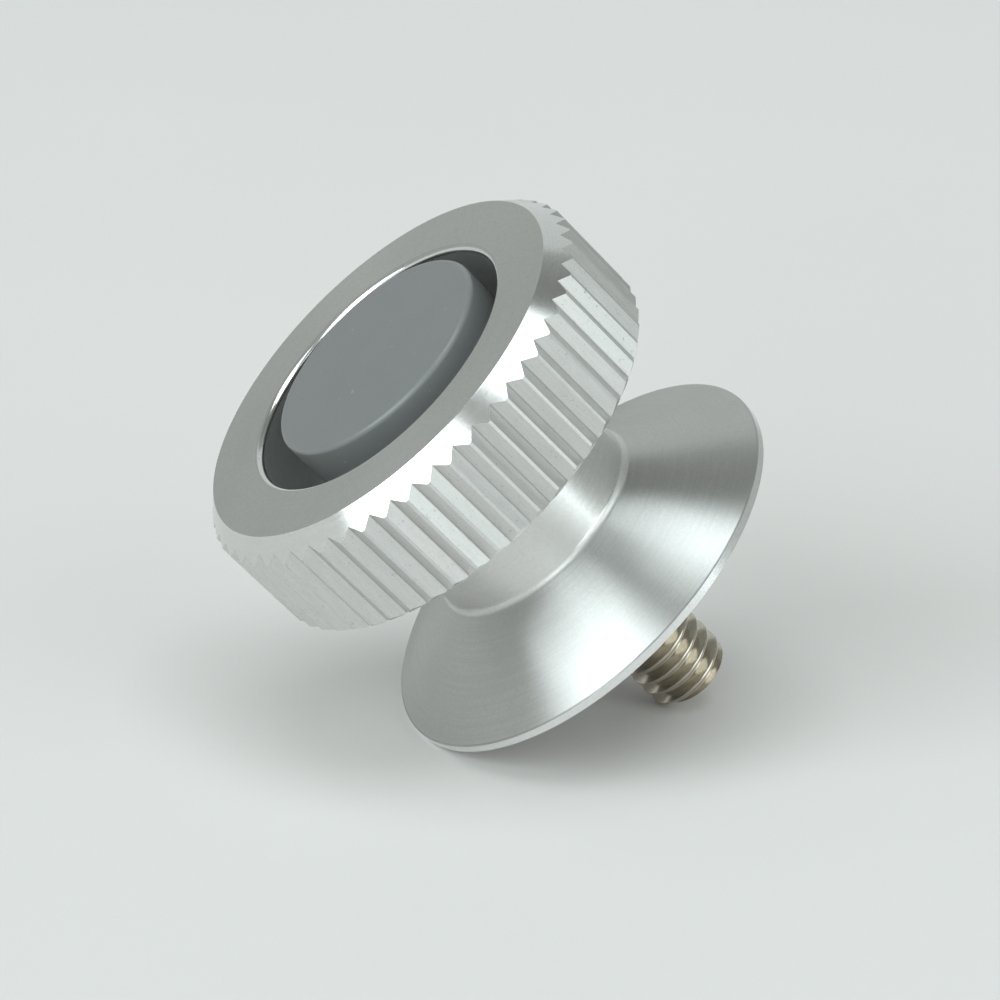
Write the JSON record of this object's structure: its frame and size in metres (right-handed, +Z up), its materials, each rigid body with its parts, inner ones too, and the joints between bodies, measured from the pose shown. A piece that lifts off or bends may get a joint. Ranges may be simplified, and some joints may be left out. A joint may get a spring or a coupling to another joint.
{
  "type": "knurled screw",
  "caption": "Knurled thumb screw: turned metal head with a soft round insert, a neck over a conical flange, and a short threaded stud.",
  "frame": {"origin": "on the table under the middle of the part, which lies on the rim of its flange and the tip of its stud", "axes": "+Z up from the table; the screw's axis lies in the XZ plane, with the stud down towards +X and the head up towards -X"},
  "size_m": [0.0234, 0.02, 0.023],
  "materials": {
    "turned_aluminium": "bare turned aluminium, satin, with fine turning marks",
    "grey_insert": "moulded grey plastic, matte",
    "stainless_thread": "bare stainless steel, rolled thread"
  },
  "bodies": {
    "root": {"body": "turned_aluminium", "insert": "grey_insert", "stud": "stainless_thread"}
  },
  "joints": []
}
